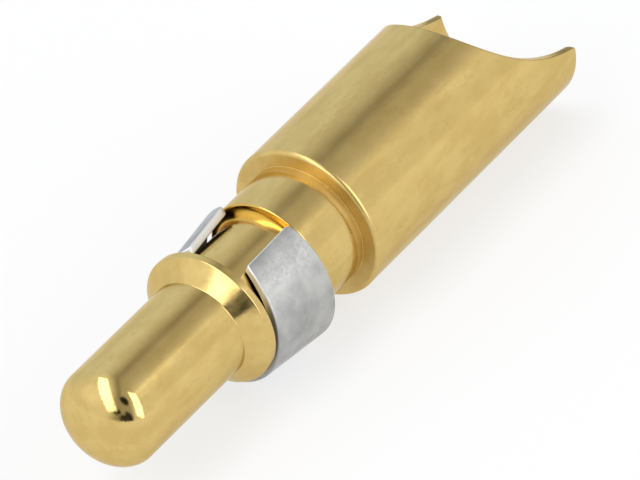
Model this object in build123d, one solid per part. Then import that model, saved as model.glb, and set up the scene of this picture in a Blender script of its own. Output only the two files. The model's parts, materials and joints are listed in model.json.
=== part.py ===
from build123d import *
import math
import os

# A high-current contact: a turned pin with a flange, a groove, a collar and a solder cup,
# and the split spring sleeve that sits in the groove and holds the contact in its housing.
# Lengths are in millimetres and angles in degrees.
# +X points to the mating tip and +Z out of the solder cup's open side.
# The origin is on the contact's axis, at the foot of the pin.

# Mating pin
pin_diameter = 3.6
pin_length = 6.0
nose_length = 1.2

# Flange in front of the groove: a cone that grows from the pin, then a narrow land
flange_diameter = 4.88
flange_cone_length = 0.55
flange_land_length = 0.27

# Groove that holds the retention clip
neck_diameter = 3.6
groove_width = 3.0
groove_corner_radius = 0.3

# Collar behind the groove
collar_diameter = 4.48
collar_length = 2.18
collar_edge_break = 0.06

# Solder cup
solder_bore_diameter = 5.0
solder_bore_depth = 8.5
drill_point_angle = 118.0
cup_wall = 0.33
cup_length = 11.66
cup_front_edge_radius = 0.14
cup_front_corner_radius = 0.02
cup_rear_edge_break = 0.05
mouth_chamfer = 0.2

# The most that a corner radius or an edge break may take of the height of its wall
corner_wall_share = 0.7
edge_wall_share = 0.2
ring_wall_share = 0.4

# Scoop that opens the cup on its +Z side, a hollow arc seen from the side
scoop_radius = 6.75
scoop_reach = 4.2
scoop_floor_height = -0.1
scoop_corner_radius = 0.1
scoop_overrun = 1.0

# Retention clip: a split cone of spring sheet, wider at its rear edge
clip_thickness = 0.3
clip_bore_play = 0.27
clip_flare = 0.3
clip_front_sweep = 1.15
clip_slot_angle = 57.5
clip_turn = 2.0
clip_rear_corner_radius = 0.22
clip_front_corner_radius = 0.12
clip_back_flat = 0.05
clip_overrun = 1.0

# Room of the clip in its groove
clip_front_gap = 0.05
clip_rear_gap = 0.08
clip_hang_gap = 0.06

# Radii and stations along the axis that follow from the sizes above
pin_radius = pin_diameter / 2
flange_radius = flange_diameter / 2
neck_radius = neck_diameter / 2
collar_radius = collar_diameter / 2
bore_radius = solder_bore_diameter / 2
cup_radius = bore_radius + cup_wall

tip_x = pin_length
nose_x = pin_length - nose_length
land_x = -flange_cone_length
groove_front_x = land_x - flange_land_length
groove_rear_x = groove_front_x - groove_width
ring_x = groove_rear_x - collar_length
cup_end_x = ring_x - cup_length
bore_floor_x = cup_end_x + solder_bore_depth
drill_point_length = bore_radius / math.tan(math.radians(drill_point_angle / 2))

clip_front_x = groove_front_x - clip_front_gap
clip_rear_x = groove_rear_x + clip_rear_gap
clip_slant = math.atan(clip_flare / (clip_front_x - clip_rear_x))
clip_front_bore = neck_radius + clip_bore_play
clip_rear_bore = clip_front_bore + clip_flare


def circles_at(solid, x, radius):
    """The round edges of a turned solid at one station and radius."""
    rounds = solid.edges().filter_by(GeomType.CIRCLE)
    return [e for e in rounds if math.isclose(e.radius, radius, abs_tol=1e-5)
            and math.isclose(e.arc_center.X, x, abs_tol=1e-5)]


def turned_body():
    """The outside of the contact, turned about X from its rounded nose to the end of the cup."""
    nose = EllipticalCenterArc((nose_x, 0), nose_length, pin_radius, start_angle=0, arc_size=90)
    outline = Polyline(
        (nose_x, pin_radius),
        (0, pin_radius),
        (land_x, flange_radius),
        (groove_front_x, flange_radius),
        (groove_front_x, neck_radius),
        (groove_rear_x, neck_radius),
        (groove_rear_x, collar_radius),
        (ring_x, collar_radius),
        (ring_x, cup_radius),
        (cup_end_x, cup_radius),
        (cup_end_x, 0),
        (tip_x, 0),
    )
    body = revolve(make_face(nose + outline), Axis.X)
    front_wall = flange_radius - neck_radius
    rear_wall = collar_radius - neck_radius
    ring_wall = cup_radius - collar_radius
    for corner_x, wall in ((groove_front_x, front_wall), (groove_rear_x, rear_wall)):
        corner = min(groove_corner_radius, corner_wall_share * wall)
        body = fillet(circles_at(body, corner_x, neck_radius), corner)
    corner = min(cup_front_corner_radius, ring_wall_share * ring_wall)
    body = fillet(circles_at(body, ring_x, collar_radius), corner)
    edge = min(cup_front_edge_radius, ring_wall_share * ring_wall)
    body = fillet(circles_at(body, ring_x, cup_radius), edge)
    edge = min(collar_edge_break, edge_wall_share * rear_wall)
    body = chamfer(circles_at(body, groove_rear_x, collar_radius), edge)
    return chamfer(circles_at(body, cup_end_x, cup_radius), cup_rear_edge_break)


def solder_bore():
    """The drilled hollow of the cup, with its drill point and the chamfer at its mouth."""
    hollow = Polyline(
        (cup_end_x, 0),
        (cup_end_x, bore_radius + mouth_chamfer),
        (cup_end_x + mouth_chamfer, bore_radius),
        (bore_floor_x, bore_radius),
        (bore_floor_x + drill_point_length, 0),
        (cup_end_x, 0),
    )
    return revolve(make_face(hollow), Axis.X)


def arc_between(centre, start, end):
    """The short arc round a centre from one point to another at the same distance from it."""
    radius = (start - centre).length
    middle = centre + ((start + end) * 0.5 - centre).normalized() * radius
    return ThreePointArc(start, middle, end)


def scoop():
    """What is cut from the cup's upper side: a disc's edge, rounded where it meets the cup's end.

    The disc's circle passes through the cup's top at scoop_reach from its end, and through the
    end plane at scoop_floor_height. The rounding touches that circle and the end plane."""
    top = Vector(cup_end_x + scoop_reach, 0, cup_radius)
    foot = Vector(cup_end_x, 0, scoop_floor_height)
    chord = foot - top
    half_chord = chord.length / 2
    rise = math.sqrt(scoop_radius ** 2 - half_chord ** 2)
    centre = (top + foot) * 0.5 + Vector(0, 1, 0).cross(chord.normalized()) * rise

    round_x = cup_end_x + scoop_corner_radius
    centre_distance = scoop_radius + scoop_corner_radius
    round_drop = math.sqrt(centre_distance ** 2 - (round_x - centre.X) ** 2)
    round_centre = Vector(round_x, 0, centre.Z - round_drop)
    touch = centre + (round_centre - centre) * (scoop_radius / centre_distance)
    end_touch = Vector(cup_end_x, 0, round_centre.Z)

    roof_z = cup_radius + scoop_overrun
    start_x = centre.X + math.sqrt(scoop_radius ** 2 - (roof_z - centre.Z) ** 2)
    start = Vector(start_x, 0, roof_z)
    outer_x = cup_end_x - scoop_overrun
    edges = arc_between(centre, start, touch) + arc_between(round_centre, touch, end_touch)
    edges += Polyline(end_touch, (outer_x, 0, end_touch.Z), (outer_x, 0, roof_z), start)
    half_width = cup_radius + scoop_overrun
    return extrude(make_face(edges), amount=half_width, dir=(0, 1, 0), both=True)


def contact_body():
    """The one turned piece: pin, flange, groove, collar and solder cup."""
    return turned_body() - solder_bore() - scoop()


def clip_front_edge(turn):
    """x and bore radius at the clip's front edge, at an angle in degrees from its lowest point.

    The edge runs back towards the slot, as that of a nearly straight blank does once it is
    rolled into a cone, with the third power of the angle."""
    back = clip_front_sweep * (turn / 180) ** 3
    return clip_front_x - back, clip_front_bore + back * math.tan(clip_slant)


def front_cutter():
    """What is in front of the clip's front edge, as that edge is seen from the side."""
    points = []
    for turn in range(0, 166, 15):
        x, bore = clip_front_edge(turn)
        middle = bore + clip_thickness / 2
        points.append(Vector(x, 0, -middle * math.cos(math.radians(turn))))
    first, last = points[0], points[-1]
    lean = Vector(math.tan(clip_slant), 0, -1) * clip_overrun
    far_x = clip_front_x + 2 * clip_overrun
    top_z = last.Z + clip_overrun
    bottom = first + lean
    around = Polyline(
        last, (last.X, 0, top_z), (far_x, 0, top_z), (far_x, 0, bottom.Z), bottom, first
    )
    half_width = clip_rear_bore + clip_thickness + clip_overrun
    return extrude(make_face(Spline(points) + around), amount=half_width, dir=(0, 1, 0), both=True)


def clip_shift():
    """How far the clip hangs below the axis, with the slot's front corners just off the neck."""
    half_slot = math.radians(clip_slot_angle / 2)
    bore = clip_front_edge(180 - clip_slot_angle / 2)[1]
    reach = neck_radius + clip_hang_gap
    side = bore * math.sin(half_slot)
    return bore * math.cos(half_slot) - math.sqrt(reach ** 2 - side ** 2)


def clip_back():
    """What is below the small flat at the clip's lowest place, its rear edge, on which it rests."""
    outer_radius = clip_rear_bore + clip_thickness
    flat_z = clip_back_flat - outer_radius - clip_shift() * math.cos(math.radians(clip_turn))
    side = 4 * outer_radius
    return Pos(clip_rear_x, 0, flat_z - side / 2) * Box(side, side, side)


def retention_clip():
    """A split cone of sheet with its slot above, hung on the neck and turned a little round it."""
    ahead_x = clip_front_x + clip_overrun
    ahead_bore = clip_front_bore - clip_overrun * math.tan(clip_slant)
    section = Polyline(
        (clip_rear_x, clip_rear_bore),
        (ahead_x, ahead_bore),
        (ahead_x, ahead_bore + clip_thickness),
        (clip_rear_x, clip_rear_bore + clip_thickness),
        (clip_rear_x, clip_rear_bore),
    )
    start = Plane.XY.rotated((90 - clip_slot_angle / 2, 0, 0))
    sleeve = revolve(start * make_face(section), Axis.X, revolution_arc=clip_slot_angle - 360)
    sleeve = sleeve - front_cutter()
    corners = sleeve.edges().sort_by(SortBy.LENGTH)[:4].sort_by(Axis.X)
    sleeve = fillet(corners[2:], clip_front_corner_radius)
    corners = sleeve.edges().filter_by(GeomType.LINE)
    rear = [e for e in corners if math.isclose(e.center().X, clip_rear_x, abs_tol=1e-5)]
    sleeve = fillet(rear, clip_rear_corner_radius)
    return Rot(-clip_turn, 0, 0) * Pos(0, 0, -clip_shift()) * sleeve - clip_back()


os.makedirs("parts", exist_ok=True)
export_step(contact_body(), "parts/contact_body.step")
export_step(retention_clip(), "parts/retention_clip.step")
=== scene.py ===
"""The finish of a turned, plated high-current contact and of the split spring sleeve in its groove.

Lengths are in millimetres until a mesh is made, angles in degrees unless a name says otherwise.
X is the contact's axis and points to its tip. An angle round the axis starts at +Z and grows towards +Y.
"""

import json
import math

import bpy
import numpy as np
from mathutils import Matrix, Vector


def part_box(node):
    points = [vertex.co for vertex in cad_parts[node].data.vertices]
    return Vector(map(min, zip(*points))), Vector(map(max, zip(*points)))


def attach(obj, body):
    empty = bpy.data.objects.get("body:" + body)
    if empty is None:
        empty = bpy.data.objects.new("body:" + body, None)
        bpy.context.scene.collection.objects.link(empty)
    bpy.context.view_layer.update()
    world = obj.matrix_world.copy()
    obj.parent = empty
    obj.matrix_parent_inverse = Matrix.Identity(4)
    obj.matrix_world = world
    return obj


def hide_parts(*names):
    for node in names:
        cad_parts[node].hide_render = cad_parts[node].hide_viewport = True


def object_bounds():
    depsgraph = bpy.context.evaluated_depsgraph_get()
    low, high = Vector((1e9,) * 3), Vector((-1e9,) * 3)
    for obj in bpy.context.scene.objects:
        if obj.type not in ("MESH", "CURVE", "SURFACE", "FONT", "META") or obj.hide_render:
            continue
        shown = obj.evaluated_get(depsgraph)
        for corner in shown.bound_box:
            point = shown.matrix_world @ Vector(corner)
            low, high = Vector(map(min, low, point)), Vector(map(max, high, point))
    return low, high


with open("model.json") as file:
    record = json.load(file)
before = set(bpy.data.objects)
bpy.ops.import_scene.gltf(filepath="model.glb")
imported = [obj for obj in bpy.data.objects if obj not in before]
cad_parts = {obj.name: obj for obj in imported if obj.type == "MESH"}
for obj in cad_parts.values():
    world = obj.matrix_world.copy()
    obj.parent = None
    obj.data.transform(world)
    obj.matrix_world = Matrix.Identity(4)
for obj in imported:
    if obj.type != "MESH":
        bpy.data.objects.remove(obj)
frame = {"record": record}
cad_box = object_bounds()

MM = 0.001
mounts = {mount["name"]: mount for mount in frame["record"]["mounts"]}
body_low, body_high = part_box("contact_body")

# Contact body: what the frame gives
tip_x = body_high.x / MM
cup_end_x = body_low.x / MM
ring_x = mounts["housing_shoulder"]["pos_m"][0] / MM
pin_radius = mounts["mating_pin"]["dims"]["r_mm"]
bore_radius = mounts["solder_cup"]["dims"]["r_mm"]
cup_radius = mounts["cup_barrel"]["dims"]["r_mm"]

# Contact body: the sizes that the mounts don't say
nose_length = 1.2
flange_radius = 2.44
flange_cone_length = 0.55
flange_land_length = 0.27
groove_width = 3.0
groove_corner_radius = 0.3
neck_radius = 1.8
collar_radius = 2.24
cup_front_corner_radius = 0.02
bore_depth = 8.5
drill_point_angle = 118.0
mouth_chamfer = 0.2
scoop_radius = 6.75
scoop_reach = 4.2
scoop_floor_height = -0.1
scoop_corner_radius = 0.1

# Contact body: how far the sharp corners of the turned profile are broken
cone_foot_rounding = 0.03
cone_edge_rounding = 0.04
land_edge_rounding = 0.04
collar_edge_rounding = 0.06
cup_front_edge_rounding = 0.14
rim_rounding = 0.05
scoop_inner_break = 0.03
drill_corner_rounding = 0.1

# Retention clip
clip_thickness = 0.3
clip_bore_play = 0.27
clip_flare = 0.3
clip_front_sweep = 1.15
clip_slot_angle = 57.5
clip_turn = 2.0
clip_rear_corner_radius = 0.22
clip_front_corner_radius = 0.12
clip_front_gap = 0.05
clip_rear_gap = 0.08
clip_hang_gap = 0.06
clip_back_flat = 0.05
clip_edge_rounding = 0.06

# Retention clip: what follows from its sizes and the groove's
groove_front_x = -flange_cone_length - flange_land_length
groove_rear_x = groove_front_x - groove_width
clip_front_x = groove_front_x - clip_front_gap
clip_rear_x = groove_rear_x + clip_rear_gap
clip_front_bore = neck_radius + clip_bore_play
clip_slant = math.atan(clip_flare / (clip_front_x - clip_rear_x))

# Both finishes: the depth of their bumps at full strength
relief_depth = 0.1

# Gold plating: clouds of two golds, a browner one where it is worn, and an orange one painted round the
# groove's foot as a reflection of the gold in itself there
gold_tones = ((0.625, 0.448, 0.157, 1), (0.695, 0.515, 0.198, 1))
worn_gold = (0.56, 0.40, 0.13, 1)
groove_reflection_gold = (0.72, 0.42, 0.07, 1)
grazing_tint = (0.84, 0.79, 0.66, 1)
plating_roughness = (0.12, 0.22)
nose_polish = 0.08
bore_roughness = 0.4
gold_relief = 0.08

# Gold plating: stations with a matt band round them and how rough it is, and where the band
# begins to fade and has faded
groove_foot_x = groove_rear_x + 0.12
matt_bands = ((ring_x, 0.3), (ring_x + 0.13, 0.5), (groove_foot_x, 0.2))
matt_band_reach = (0.11, 0.27)

# Spring steel: blotches of two greys, a dark inside that is painted shade, and bright cut edges with a
# painted highlight beside the slot and painted shade low on the front by the flange
steel_tones = ((0.37, 0.375, 0.365, 1), (0.50, 0.50, 0.485, 1))
# Painted shade: the sheet's inside is coloured near black for the shade within the sleeve
painted_inside_shade = (0.035, 0.03, 0.024, 1)
# Cut edges: bare cut steel, made paler than the sheet partly as a painted highlight; then a painted
# highlight beside the slot, and painted shade low on the front edge by the flange
cut_and_sheen_steel = (0.72, 0.725, 0.7, 1)
painted_highlight_steel = (0.95, 0.96, 0.97, 1)
shaded_edge_steel = (0.42, 0.42, 0.41, 1)
sheet_roughness = (0.42, 0.54)
inside_roughness = 0.6
edge_roughness = 0.62
steel_relief = 0.25

# Spring steel: how much of the edge's tone its outermost rows take
edge_start_share = 0.4

# Spring steel: how far behind the clip's front the painted highlight on the front edge and the painted
# shade on it begin and are full
painted_highlight_reach = (0.88, 0.63)
edge_shade_reach = (0.42, 0.2)

# Fineness of the meshes
body_columns = 480
nose_rows = 26
arc_rows = 5
support_gap = 0.02
cup_rows = 10
rim_rows = 5
bore_rows = 10
mouth_rounds = 30
clip_columns = 150
clip_rows = 14
clip_corner_rows = 8
clip_edge_rows = 5

# Camera: the photo's view, in metres in the contact's frame
camera_place = Vector((0.1440983, 0.1410856, 0.1410856))
camera_forward = Vector((-0.60104, -0.5632, -0.56706))
camera_right = Vector((-0.56885, 0.79985, -0.19146))
camera_lens = 433.5
camera_sensor = 36.0

# Studio: a white tent. Its gap is a band of sky square to gap_side, with these levels across it
tent_brightness = 0.95
gap_side = (-0.389, 0.828, -0.405)
tent_levels = [
    (-1.0, 1.02), (-0.45, 1.04), (-0.30, 0.74), (-0.125, 0.36), (0.02, 0.6),
    (0.17, 0.62), (0.32, 0.70), (0.47, 0.97), (1.0, 1.0),
]

# Studio: a paler place in the tent, and dark things round the camera, as longitude, latitude,
# radius inside and outside in degrees, and level
places = [
    (-32, 36, 4, 30, 1.22),
    (42, 26, 12, 30, 0.5),
    (58, 43, 7, 13, 0.03),
    (47, 9, 6, 13, 0.04),
    (32, 3, 6, 12, 0.05),
    (22, 19, 5, 10, 0.05),
]

# Studio: the cool side of the tent as longitude, latitude, radius inside and outside
cool_side = (-130, 10, 20, 60)
cool_tint = (0.88, 0.97, 1.12, 1)

# Studio: the table, its half width in metres, how white it is, how much it glows and how matt it is
table_half_width = 2.0
table_white = 0.22
table_glow = 0.71
table_roughness = 0.9

# Studio: the soft boxes' distance in metres and their brightness. Each has a name, the direction
# of its place and of its long side as longitude and latitude, and its two sides in metres
box_distance = 0.5
box_brightness = 2.2
soft_boxes = [
    ("left_soft_box", (-7, 58), (26, -29), (0.96, 0.22)),
    ("right_soft_box", (98, 25), (38, -42), (0.53, 0.23)),
]


def smooth_mesh(name, points, faces, material):
    """A smooth-shaded mesh object from an (n, 3) array in millimetres and a list of faces."""
    mesh = bpy.data.meshes.new(name)
    mesh.from_pydata((points * MM).tolist(), [], faces)
    mesh.polygons.foreach_set("use_smooth", np.ones(len(mesh.polygons), bool))
    mesh.materials.append(material)
    mesh.update()
    piece = bpy.data.objects.new(name, mesh)
    bpy.context.scene.collection.objects.link(piece)
    return piece


def grid_faces(rows, columns, closed):
    """Faces of a grid of points, row by row. Where it is closed, the last column joins the first."""
    row, column = np.meshgrid(np.arange(rows - 1), np.arange(columns - (not closed)), indexing="ij")
    after = (column + 1) % columns
    near, far = row * columns, (row + 1) * columns
    corners = (near + column, near + after, far + after, far + column)
    return np.stack(corners, axis=-1).reshape(-1, 4)


def rounded_profile(corners):
    """A turned profile with its corners rounded.

    Each corner is (x, radius, rounding). Its arc touches both straight runs at rounding times the
    tangent of half the turn, and one more point lies just outside each end of the arc, so that
    the straight runs keep their own slope in the shading."""
    made = [corners[0][:2]]
    for before, (x, r, rounding), after in zip(corners, corners[1:], corners[2:]):
        corner = np.array((x, r))
        inward = np.array(before[:2]) - corner
        outward = np.array(after[:2]) - corner
        inward /= np.linalg.norm(inward)
        outward /= np.linalg.norm(outward)
        turn = math.pi - math.acos(np.clip(inward @ outward, -1, 1))
        reach = rounding * math.tan(turn / 2)
        bisector = (inward + outward) / np.linalg.norm(inward + outward)
        centre = corner + bisector * rounding / math.cos(turn / 2)
        swing = np.linspace(-turn / 2, turn / 2, arc_rows)[:, None]
        across = np.array((-bisector[1], bisector[0]))
        across *= -np.sign(across @ inward)
        arc = centre - rounding * (np.cos(swing) * bisector - np.sin(swing) * across)
        made.append(corner + inward * (reach + support_gap))
        made.extend(arc)
        made.append(corner + outward * (reach + support_gap))
    made.append(corners[-1][:2])
    return np.array(made)


def scoop_circles():
    """Centres of the scoop's circle and of the rounding between it and the cup's end, as (x, z)."""
    top = np.array((cup_end_x + scoop_reach, cup_radius))
    foot = np.array((cup_end_x, scoop_floor_height))
    chord = foot - top
    half_chord = np.linalg.norm(chord) / 2
    along = chord / np.linalg.norm(chord)
    rise = math.sqrt(scoop_radius ** 2 - half_chord ** 2)
    centre = (top + foot) / 2 + rise * np.array((along[1], -along[0]))
    round_x = cup_end_x + scoop_corner_radius
    drop = math.sqrt((scoop_radius + scoop_corner_radius) ** 2 - (round_x - centre[0]) ** 2)
    return centre, np.array((round_x, centre[1] - drop))


def cut_station(height):
    """x where the cup ends at a height above the axis: the end plane, the rounding, then the scoop."""
    centre, corner = scoop_circles()
    touch = corner + (centre - corner) * scoop_corner_radius / (scoop_radius + scoop_corner_radius)
    above_corner = np.clip(height - corner[1], 0, scoop_corner_radius)
    rounding = corner[0] - np.sqrt(scoop_corner_radius ** 2 - above_corner ** 2)
    scoop = centre[0] + np.sqrt(scoop_radius ** 2 - (height - centre[1]) ** 2)
    return np.where(height > touch[1], scoop, rounding)


def column_angles():
    """Angles of the body's columns in radians, spaced evenly along the rim from its lowest point."""
    angle = np.linspace(-math.pi, math.pi, 40 * body_columns)
    height = cup_radius * np.cos(angle)
    rim = np.stack((cut_station(height), cup_radius * np.sin(angle), height), axis=-1)
    length = np.concatenate(([0], np.cumsum(np.linalg.norm(np.diff(rim, axis=0), axis=1))))
    wanted = np.linspace(0, length[-1], body_columns, endpoint=False)
    return np.interp(wanted, length, angle)


def outside_profile():
    """The turned outside from the nose to the front of the cup, as rows of (x, radius).

    The nose is a quarter of an ellipse. The rest is straight runs with rounded corners."""
    swing = np.linspace(0, math.pi / 2, nose_rows)[1:]
    nose_x = tip_x - nose_length
    nose = np.stack((nose_x + nose_length * np.cos(swing), pin_radius * np.sin(swing)), axis=-1)
    land_x = -flange_cone_length
    corners = [
        (nose_x - support_gap, pin_radius, 0),
        (0, pin_radius, cone_foot_rounding),
        (land_x, flange_radius, cone_edge_rounding),
        (groove_front_x, flange_radius, land_edge_rounding),
        (groove_front_x, neck_radius, groove_corner_radius),
        (groove_rear_x, neck_radius, groove_corner_radius),
        (groove_rear_x, collar_radius, collar_edge_rounding),
        (ring_x, collar_radius, cup_front_corner_radius),
        (ring_x, cup_radius, cup_front_edge_rounding),
        (ring_x - 1, cup_radius, 0),
    ]
    return np.concatenate((nose, rounded_profile(corners)))


def mouth_radius(angle):
    """Radius of the rim's inner edge: the mouth chamfer on the end plane, a fine break in the scoop.

    The radius and the rim's height depend on each other, so both are worked out in rounds."""
    radius = np.full_like(angle, bore_radius + mouth_chamfer)
    for _ in range(mouth_rounds):
        depth = cut_station(radius * np.cos(angle)) - cup_end_x
        radius = bore_radius + np.clip(mouth_chamfer - depth, scoop_inner_break, mouth_chamfer)
    return radius


def cup_surface(angle, start_x):
    """Rows of (x, radius) from the cup's front, over its rim and down the bore to the drill point.

    The rim's edges are quarter circles. Where the rim runs at a slope along the cup, they are
    stretched along x by the rim's length over its length round the axis, so their width stays even."""
    outer = np.full_like(angle, cup_radius)
    inner = mouth_radius(angle)
    step = 0.001
    height = cup_radius * np.cos(angle)
    slope = (cut_station(height + step) - cut_station(height - step)) / (2 * step) * np.sin(angle)
    stretch = np.sqrt(1 + slope ** 2)

    def on_cut(radius, lift):
        return cut_station(radius * np.cos(angle)) + lift * stretch, radius

    rim_start, _ = on_cut(outer, rim_rounding + support_gap)
    shares = np.linspace(0, 1, cup_rows + 1)[1:]
    rows = [(start_x + (rim_start - start_x) * share, outer) for share in shares]
    for turn in np.linspace(0, math.pi / 2, rim_rows):
        inward = rim_rounding * (1 - math.cos(turn))
        rows.append(on_cut(outer - inward, rim_rounding * (1 - math.sin(turn))))
    wall_outer = outer - rim_rounding
    for share in np.linspace(0, 1, rim_rows)[1:]:
        rows.append(on_cut(wall_outer + (inner - wall_outer) * share, 0))
    edge_x, _ = rows[-1]
    break_size = inner - bore_radius
    for share in np.linspace(0, 1, rim_rows)[1:]:
        rows.append((edge_x + break_size * share * stretch, inner - break_size * share))
    bore_start = rows[-1][0] + support_gap
    floor_x = cup_end_x + bore_depth
    half_point = math.radians(drill_point_angle / 2)
    point_x = floor_x + bore_radius / math.tan(half_point)
    floor = rounded_profile([
        (floor_x - 1, bore_radius, 0),
        (floor_x, bore_radius, drill_corner_rounding),
        (point_x, 0, 0),
    ])[1:-1]
    bore_end = floor[0][0]
    bore = np.full_like(angle, bore_radius)
    for share in np.linspace(0, 1, bore_rows + 1)[:-1]:
        rows.append((bore_start + (bore_end - bore_start) * share, bore))
    rows.extend((np.full_like(angle, x), np.full_like(angle, r)) for x, r in floor)
    return rows, point_x


def contact_body(material):
    """The turned body: rings from the tip along the outside, over the cup's rim and into its bore.

    A ring's point lies at (x, r sin angle, r cos angle). Both poles are single points, each with a
    fan of faces."""
    angle = column_angles()
    outside = outside_profile()[:-1]
    rows = [(np.full_like(angle, x), np.full_like(angle, r)) for x, r in outside]
    cup, point_x = cup_surface(angle, outside[-1][0])
    rows.extend(cup)
    x = np.array([row[0] for row in rows])
    r = np.array([row[1] for row in rows])
    rings = np.stack((x, r * np.sin(angle), r * np.cos(angle)), axis=-1).reshape(-1, 3)
    points = np.concatenate((rings, [(tip_x, 0, 0), (point_x, 0, 0)]))
    faces = grid_faces(len(rows), body_columns, closed=True).tolist()
    column = np.arange(body_columns)
    after = (column + 1) % body_columns
    last = (len(rows) - 1) * body_columns
    tip, point = len(rings), len(rings) + 1
    faces += np.stack((np.full_like(column, tip), after, column), axis=-1).tolist()
    faces += np.stack((last + column, last + after, np.full_like(column, point)), axis=-1).tolist()
    return smooth_mesh("turned_contact", points, faces, material)


def clip_front_edge(turn):
    """x and bore radius at the clip's front edge, at an angle in radians from its lowest point.

    The edge runs back towards the slot, as that of a nearly straight blank does once it is
    rolled into a cone, with the third power of the angle."""
    back = clip_front_sweep * np.abs(turn / math.pi) ** 3
    return clip_front_x - back, clip_front_bore + back * math.tan(clip_slant)


def clip_shift():
    """How far the clip hangs below the axis, with its slot's front corners just off the neck."""
    half_slot = math.radians(clip_slot_angle / 2)
    bore = clip_front_edge(math.pi - half_slot)[1]
    reach = neck_radius + clip_hang_gap
    side = bore * math.sin(half_slot)
    return bore * math.cos(half_slot) - math.sqrt(reach ** 2 - side ** 2)


def clip_plan(mean_radius):
    """The clip's outline, inset by its edge rounding, as a grid of (x, s round it from its lowest line).

    Rows run across the sheet from one slot edge to the other. Near the ends of the sheet they
    shorten along a quarter circle, which rounds the four corners of the plan."""
    inset = clip_edge_rounding
    half_width = mean_radius * (math.pi - math.radians(clip_slot_angle / 2)) - inset
    swing = np.linspace(0, math.pi / 2, clip_corner_rows)
    rear = clip_rear_corner_radius - inset
    front = clip_front_corner_radius - inset
    s_edge = np.concatenate((
        half_width - rear * (1 - np.sin(swing)),
        np.full(clip_rows, half_width),
        half_width - front * (1 - np.sin(swing[::-1])),
    ))
    s = s_edge[:, None] * np.linspace(-1, 1, clip_columns)
    front_x = clip_front_edge(s / mean_radius)[0]
    rear_rows = clip_rear_x + inset + rear * (1 - np.cos(swing))
    front_rows = inset + front * (1 - np.cos(swing[::-1]))
    x = np.empty_like(s)
    x[:clip_corner_rows] = rear_rows[:, None]
    x[-clip_corner_rows:] = front_x[-clip_corner_rows:] - front_rows[:, None]
    share = np.linspace(0, 1, clip_rows + 2)[1:-1, None]
    rear_end, front_end = x[clip_corner_rows - 1], x[-clip_corner_rows]
    x[clip_corner_rows:-clip_corner_rows] = rear_end * (1 - share) + front_end * share
    return x, s


def retention_clip(material):
    """The split sleeve: its two sides are the flat plan, rolled up, and a rounded band joins them.

    The band follows the plan's outline. Across the sheet it is a quarter circle from one side,
    a short straight and a quarter circle to the other. A point at height h over the sheet's
    middle and s round it lies at the middle's radius there plus h, and at the angle s over the
    mean radius. What would lie below the small flat at its lowest place is raised to that flat."""
    mean_radius = clip_front_bore + (clip_flare + clip_thickness) / 2
    x, s = clip_plan(mean_radius)
    rows, columns = x.shape

    index = np.arange(rows * columns).reshape(rows, columns)
    loop = np.concatenate((index[0, :-1], index[:-1, -1], index[-1, :0:-1], index[:0:-1, 0]))
    plan = np.stack((x.ravel(), s.ravel()), axis=-1)
    edge = plan[loop]
    along = np.roll(edge, -1, axis=0) - np.roll(edge, 1, axis=0)
    outward = np.stack((-along[:, 1], along[:, 0]), axis=-1)
    outward /= np.linalg.norm(outward, axis=1)[:, None]

    half = clip_thickness / 2
    swing = np.linspace(0, math.pi / 2, clip_edge_rows)[1:]
    out = clip_edge_rounding * np.sin(swing)
    height = half - clip_edge_rounding * (1 - np.cos(swing))
    band_out = np.concatenate((out, out[::-1]))
    band_height = np.concatenate((height, -height[::-1]))
    band = edge[None] + outward[None] * band_out[:, None, None]
    flat = np.concatenate((plan, plan, band.reshape(-1, 2)))
    heights = np.concatenate((
        np.full(len(plan), half),
        np.full(len(plan), -half),
        np.repeat(band_height, len(loop)),
    ))

    widening = (clip_front_x - flat[:, 0]) * math.tan(clip_slant)
    radius = clip_front_bore + clip_thickness / 2 + widening + heights
    lean = math.radians(clip_turn)
    turned = lean + math.pi + flat[:, 1] / mean_radius
    drop = clip_shift()
    points = np.stack((
        flat[:, 0],
        radius * np.sin(turned) - drop * math.sin(lean),
        radius * np.cos(turned) - drop * math.cos(lean),
    ), axis=-1)

    flat_z = clip_back_flat - clip_front_bore - clip_flare - clip_thickness - drop * math.cos(lean)
    points[:, 2] = np.maximum(points[:, 2], flat_z)

    sheet = grid_faces(rows, columns, closed=False)
    inner = sheet + len(plan)
    first = 2 * len(plan) + np.arange(len(band_out))[:, None] * len(loop) + np.arange(len(loop))
    ladder = np.concatenate((loop[None], first, loop[None] + len(plan)))
    before, after = ladder, np.roll(ladder, -1, axis=1)
    rim = np.stack((before[:-1], after[:-1], after[1:], before[1:]), axis=-1).reshape(-1, 4)
    faces = np.concatenate((sheet[:, ::-1], inner, rim)).tolist()
    piece = smooth_mesh("split_sleeve", points, faces, material)
    on_edge = np.repeat((0.0, 0.0, 1.0), (len(plan), len(plan), len(band_height) * len(loop)))
    on_edge[first[0]] = edge_start_share
    on_edge[first[-1]] = edge_start_share
    piece.data.attributes.new("cut_edge", "FLOAT", "POINT").data.foreach_set("value", on_edge)
    inside = np.clip(0.5 - heights / clip_thickness, 0, 1)
    piece.data.attributes.new("inside", "FLOAT", "POINT").data.foreach_set("value", inside)
    return piece


def add(tree, kind, values=None, **settings):
    """A new node with its settings, and with numbers or links for its named or numbered inputs."""
    made = tree.nodes.new(kind)
    for name, value in settings.items():
        setattr(made, name, value)
    for name, value in (values or {}).items():
        if isinstance(value, bpy.types.NodeSocket):
            tree.links.new(value, made.inputs[name])
        else:
            made.inputs[name].default_value = value
    return made


def maths(tree, operation, first, second=0.0):
    """The result of one Math node."""
    return add(tree, "ShaderNodeMath", {0: first, 1: second}, operation=operation).outputs[0]


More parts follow.
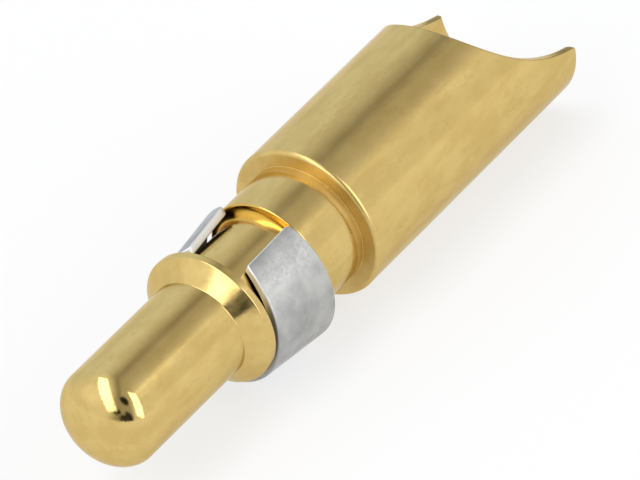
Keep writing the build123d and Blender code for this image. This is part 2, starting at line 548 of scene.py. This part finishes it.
def remap(tree, value, low, high, to_low, to_high, smooth=True):
    """A value carried smoothly or straight from one range to another, and held at its ends."""
    kind = "SMOOTHSTEP" if smooth else "LINEAR"
    inputs = {"Value": value, "From Min": low, "From Max": high, "To Min": to_low, "To Max": to_high}
    return add(tree, "ShaderNodeMapRange", inputs, interpolation_type=kind).outputs["Result"]


def blend(tree, share, first, second, **settings):
    """A mix of two colours."""
    inputs = {"Factor": share, "A": first, "B": second}
    return add(tree, "ShaderNodeMix", inputs, data_type="RGBA", **settings).outputs["Result"]


def new_material(name):
    """A material with a Principled shader, its tree, and the object's coordinates in millimetres."""
    material = bpy.data.materials.new(name)
    material.use_nodes = True
    tree = material.node_tree
    tree.nodes.clear()
    shader = add(tree, "ShaderNodeBsdfPrincipled")
    output = add(tree, "ShaderNodeOutputMaterial")
    tree.links.new(shader.outputs["BSDF"], output.inputs["Surface"])
    where = add(tree, "ShaderNodeTexCoord").outputs["Object"]
    scaled = add(tree, "ShaderNodeMapping", {"Vector": where, "Scale": (1 / MM,) * 3})
    return material, tree, shader, scaled.outputs["Vector"]


def noise(tree, coordinates, scale, stretch=(1, 1, 1), detail=2.0):
    """Noise from 0 to 1 on coordinates that are stretched first."""
    moved = add(tree, "ShaderNodeMapping", {"Vector": coordinates, "Scale": stretch})
    inputs = {"Vector": moved.outputs["Vector"], "Scale": scale, "Detail": detail}
    return add(tree, "ShaderNodeTexNoise", inputs).outputs["Fac"]


def relief(tree, shader, height, strength):
    """Small bumps on a shader's surface from a height that goes from 0 to 1."""
    inputs = {"Height": height, "Strength": strength, "Distance": relief_depth * MM}
    bump = add(tree, "ShaderNodeBump", inputs)
    tree.links.new(bump.outputs["Normal"], shader.inputs["Normal"])


def gold_plating():
    """Satin gold over turned metal: fine rings from the tool, lengthwise streaks and a fine grain.

    It is smoothest on the nose, and matt inside the bore and in the steps of the profile, where
    polishing doesn't reach."""
    material, tree, shader, place = new_material("gold_plating")
    shader.inputs["Metallic"].default_value = 1.0
    shader.inputs["Specular Tint"].default_value = grazing_tint
    x, y, z = add(tree, "ShaderNodeSeparateXYZ", {"Vector": place}).outputs
    y_squared = maths(tree, "MULTIPLY", y, y)
    z_squared = maths(tree, "MULTIPLY", z, z)
    radius = maths(tree, "SQRT", maths(tree, "ADD", y_squared, z_squared))
    travel = maths(tree, "SUBTRACT", x, radius)
    rings_in = add(tree, "ShaderNodeCombineXYZ", {"X": travel}).outputs["Vector"]
    rings = noise(tree, rings_in, 14.0, detail=3.0)
    streaks = noise(tree, place, 3.0, stretch=(0.1, 1, 1), detail=4.0)
    cloud = noise(tree, place, 1.6, stretch=(0.5, 1, 1), detail=4.0)
    grain = noise(tree, place, 7.0, stretch=(0.6, 1, 1), detail=3.0)

    tone = blend(tree, remap(tree, cloud, 0.3, 0.7, 0.0, 1.0), *gold_tones)
    worn = remap(tree, maths(tree, "ADD", streaks, grain), 1.08, 1.3, 0.0, 0.35)
    tone = blend(tree, worn, tone, worn_gold)
    # Painted reflection: round the groove's foot the base colour turns orange, standing in for gold
    # mirrored in gold
    groove_reflection_share = maths(tree, "ABSOLUTE", maths(tree, "SUBTRACT", x, groove_foot_x))
    groove_reflection_share = remap(tree, groove_reflection_share, 0.1, 0.2, 1.0, 0.0)
    tree.links.new(blend(tree, groove_reflection_share, tone, groove_reflection_gold), shader.inputs["Base Color"])

    nose_x = tip_x - nose_length
    nose = remap(tree, x, nose_x - 0.1, nose_x + 0.05, 0.0, nose_polish)
    plain = remap(tree, streaks, 0.3, 0.7, *plating_roughness)
    rough = maths(tree, "SUBTRACT", plain, nose)
    for band_x, matt in matt_bands:
        away = maths(tree, "ABSOLUTE", maths(tree, "SUBTRACT", x, band_x))
        rough = maths(tree, "MAXIMUM", rough, remap(tree, away, *matt_band_reach, matt, 0.0))
    in_bore = remap(tree, radius, bore_radius + 0.01, bore_radius + 0.05, bore_roughness, 0.0)
    in_cup = remap(tree, x, ring_x - 0.7, ring_x - 0.5, 1.0, 0.0)
    rough = maths(tree, "MAXIMUM", rough, maths(tree, "MULTIPLY", in_bore, in_cup))
    tree.links.new(rough, shader.inputs["Roughness"])

    height = maths(tree, "MULTIPLY", rings, 0.3)
    height = maths(tree, "ADD", height, maths(tree, "MULTIPLY", cloud, 0.5))
    height = maths(tree, "ADD", height, maths(tree, "MULTIPLY", grain, 0.12))
    relief(tree, shader, height, gold_relief)
    return material


def sleeve_steel():
    """Tumbled grey spring sheet: blotchy, softly dented, with matt cut edges and a dull inside that is
    painted dark as shade.

    The mesh says how far a point is on the cut edge, and how far it is through the sheet. The front
    edge has a painted highlight beside the slot, and painted shade further down by the flange."""
    material, tree, shader, place = new_material("sleeve_steel")
    shader.inputs["Metallic"].default_value = 1.0
    on_edge = add(tree, "ShaderNodeAttribute", attribute_name="cut_edge").outputs["Fac"]
    depth = add(tree, "ShaderNodeAttribute", attribute_name="inside").outputs["Fac"]
    within = remap(tree, depth, 0.9, 1.0, 0.0, 1.0)
    blotches = noise(tree, place, 1.3, detail=4.0)
    grain = noise(tree, place, 9.0, detail=3.0)
    outer = blend(tree, remap(tree, blotches, 0.3, 0.7, 0.0, 1.0), *steel_tones)
    # Painted shade on the sleeve's inside
    sheet = blend(tree, within, outer, painted_inside_shade)
    x = add(tree, "ShaderNodeSeparateXYZ", {"Vector": place}).outputs["X"]
    behind = maths(tree, "SUBTRACT", clip_front_x, x)
    # Painted highlight on the front edge beside the slot, painted shade on it lower down by the flange
    edge = blend(tree, remap(tree, behind, *painted_highlight_reach, 0.0, 1.0), cut_and_sheen_steel, painted_highlight_steel)
    edge = blend(tree, remap(tree, behind, *edge_shade_reach, 0.0, 1.0), edge, shaded_edge_steel)
    tree.links.new(blend(tree, on_edge, sheet, edge), shader.inputs["Base Color"])

    rough = remap(tree, grain, 0.3, 0.7, *sheet_roughness)
    rough = maths(tree, "MAXIMUM", rough, maths(tree, "MULTIPLY", on_edge, edge_roughness))
    rough = maths(tree, "MAXIMUM", rough, maths(tree, "MULTIPLY", within, inside_roughness))
    tree.links.new(rough, shader.inputs["Roughness"])

    height = maths(tree, "MULTIPLY", blotches, 0.8)
    height = maths(tree, "ADD", height, maths(tree, "MULTIPLY", grain, 0.2))
    relief(tree, shader, height, steel_relief)
    return material


def make_camera():
    """The photo's camera: its place, its turn and its long lens."""
    data = bpy.data.cameras.new("photo_camera")
    data.lens = camera_lens
    data.sensor_width = camera_sensor
    data.clip_start = 0.01
    data.clip_end = 10
    camera = bpy.data.objects.new("photo_camera", data)
    back = -camera_forward.normalized()
    right = camera_right.normalized()
    up = back.cross(right)
    turn = Matrix((right, up, back)).transposed()
    camera.matrix_world = Matrix.Translation(camera_place) @ turn.to_4x4()
    bpy.context.scene.collection.objects.link(camera)
    bpy.context.scene.camera = camera


def make_floor(height):
    """A wide pale table with a glow of its own, under the lowest point of the part."""
    half = table_half_width
    corners = [(x, y, height) for x, y in ((-half, -half), (half, -half), (half, half), (-half, half))]
    mesh = bpy.data.meshes.new("floor")
    mesh.from_pydata(corners, [], [(0, 1, 2, 3)])
    material = bpy.data.materials.new("pale_floor")
    material.use_nodes = True
    shader = material.node_tree.nodes["Principled BSDF"]
    shader.inputs["Base Color"].default_value = (table_white, table_white, table_white, 1)
    shader.inputs["Roughness"].default_value = table_roughness
    shader.inputs["Emission Color"].default_value = (1, 1, 1, 1)
    shader.inputs["Emission Strength"].default_value = table_glow
    mesh.materials.append(material)
    floor = bpy.data.objects.new("floor", mesh)
    bpy.context.scene.collection.objects.link(floor)


def direction(longitude, latitude):
    """The unit vector at a longitude from +X towards +Y and a latitude above the floor."""
    lon, lat = math.radians(longitude), math.radians(latitude)
    return Vector((math.cos(lat) * math.cos(lon), math.cos(lat) * math.sin(lon), math.sin(lat)))


def soft_box(name, towards, along, size):
    """A rectangular light that faces the part from one direction, its long side along another."""
    data = bpy.data.lights.new(name, "AREA")
    data.shape = "RECTANGLE"
    data.size, data.size_y = size
    data.energy = box_brightness * math.pi * size[0] * size[1]
    side = (along - towards * along.dot(towards)).normalized()
    up = towards.cross(side)
    light = bpy.data.objects.new(name, data)
    turn = Matrix((side, up, towards)).transposed()
    light.matrix_world = Matrix.Translation(towards * box_distance) @ turn.to_4x4()
    bpy.context.scene.collection.objects.link(light)


def along_direction(tree, ray, unit):
    """How far a ray goes along a direction: the cosine of the angle between them."""
    return add(tree, "ShaderNodeVectorMath", {0: ray, 1: unit}, operation="DOT_PRODUCT").outputs["Value"]


def near(tree, ray, longitude, latitude, inside, outside):
    """1 where a ray is within so many degrees of a direction, falling softly to 0 further out."""
    cosine = along_direction(tree, ray, direction(longitude, latitude))
    low, high = math.cos(math.radians(outside)), math.cos(math.radians(inside))
    return remap(tree, cosine, low, high, 0.0, 1.0)


def make_studio():
    """A white light tent with a darker gap and a cool side, dark things in it, and two soft boxes."""
    world = bpy.data.worlds.new("light_tent")
    world.use_nodes = True
    tree = world.node_tree
    tree.nodes.clear()
    ray = add(tree, "ShaderNodeTexCoord").outputs["Generated"]
    across = along_direction(tree, ray, gap_side)
    shade = add(tree, "ShaderNodeValToRGB", {"Fac": remap(tree, across, -1, 1, 0, 1, smooth=False)})
    ramp = shade.color_ramp
    for place, level in tent_levels[1:-1]:
        ramp.elements.new((place + 1) / 2)
    for element, (place, level) in zip(ramp.elements, tent_levels):
        element.position = (place + 1) / 2
        element.color = (level, level, level, 1)
    tent = shade.outputs["Color"]
    for *where, level in places:
        tent = blend(tree, near(tree, ray, *where), tent, (level, level, level, 1))
    cool = blend(tree, near(tree, ray, *cool_side), (1, 1, 1, 1), cool_tint)
    tinted = blend(tree, 1.0, tent, cool, blend_type="MULTIPLY")
    background = add(tree, "ShaderNodeBackground", {"Color": tinted, "Strength": tent_brightness})
    output = add(tree, "ShaderNodeOutputWorld")
    tree.links.new(background.outputs["Background"], output.inputs["Surface"])
    bpy.context.scene.world = world
    for name, towards, along, size in soft_boxes:
        soft_box(name, direction(*towards), direction(*along), size)


make_camera()
make_floor(cad_box[0].z)
make_studio()
bpy.context.scene.view_settings.view_transform = "Standard"

body = contact_body(gold_plating())
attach(body, "root")
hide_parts("contact_body")

clip = retention_clip(sleeve_steel())
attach(clip, "root")
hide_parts("retention_clip")
